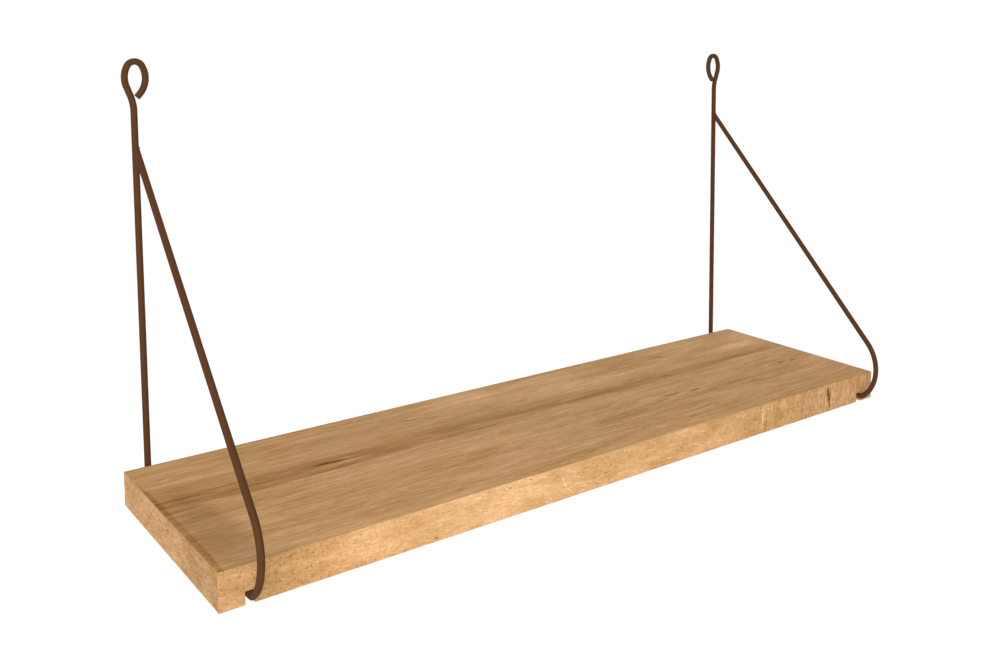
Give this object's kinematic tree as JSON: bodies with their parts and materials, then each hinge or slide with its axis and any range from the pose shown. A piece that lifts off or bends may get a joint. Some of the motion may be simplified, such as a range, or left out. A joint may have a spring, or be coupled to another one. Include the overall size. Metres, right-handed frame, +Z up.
{
  "type": "hanging wall shelf",
  "caption": "Wall shelf: a straight oak board lies in two bent steel rod brackets, each a welded triangle with a teardrop eye at the top to hang on a wall screw.",
  "frame": {"origin": "on the wall plane, midway between the two eyes, level with the underside of their crowns, where the wall screws carry the shelf", "axes": "+Z up, +X along the board to the right seen from the room, +Y into the wall; the board reaches out along -Y"},
  "size_m": [0.72, 0.2673, 0.3814],
  "materials": {
    "oak": "smooth sanded oak, oiled, satin",
    "rust_brown_steel": "rust-brown coated steel rod, satin"
  },
  "bodies": {
    "brackets": {"left_rod": "rust_brown_steel", "right_rod": "rust_brown_steel", "left_weld": "rust_brown_steel", "right_weld": "rust_brown_steel"},
    "board": {"board": "oak"}
  },
  "joints": [
    {"name": "board_lift", "type": "slide", "parent": "brackets", "child": "board", "axis": [0, 0, 1], "range_m": [0, 0.0445]}
  ]
}
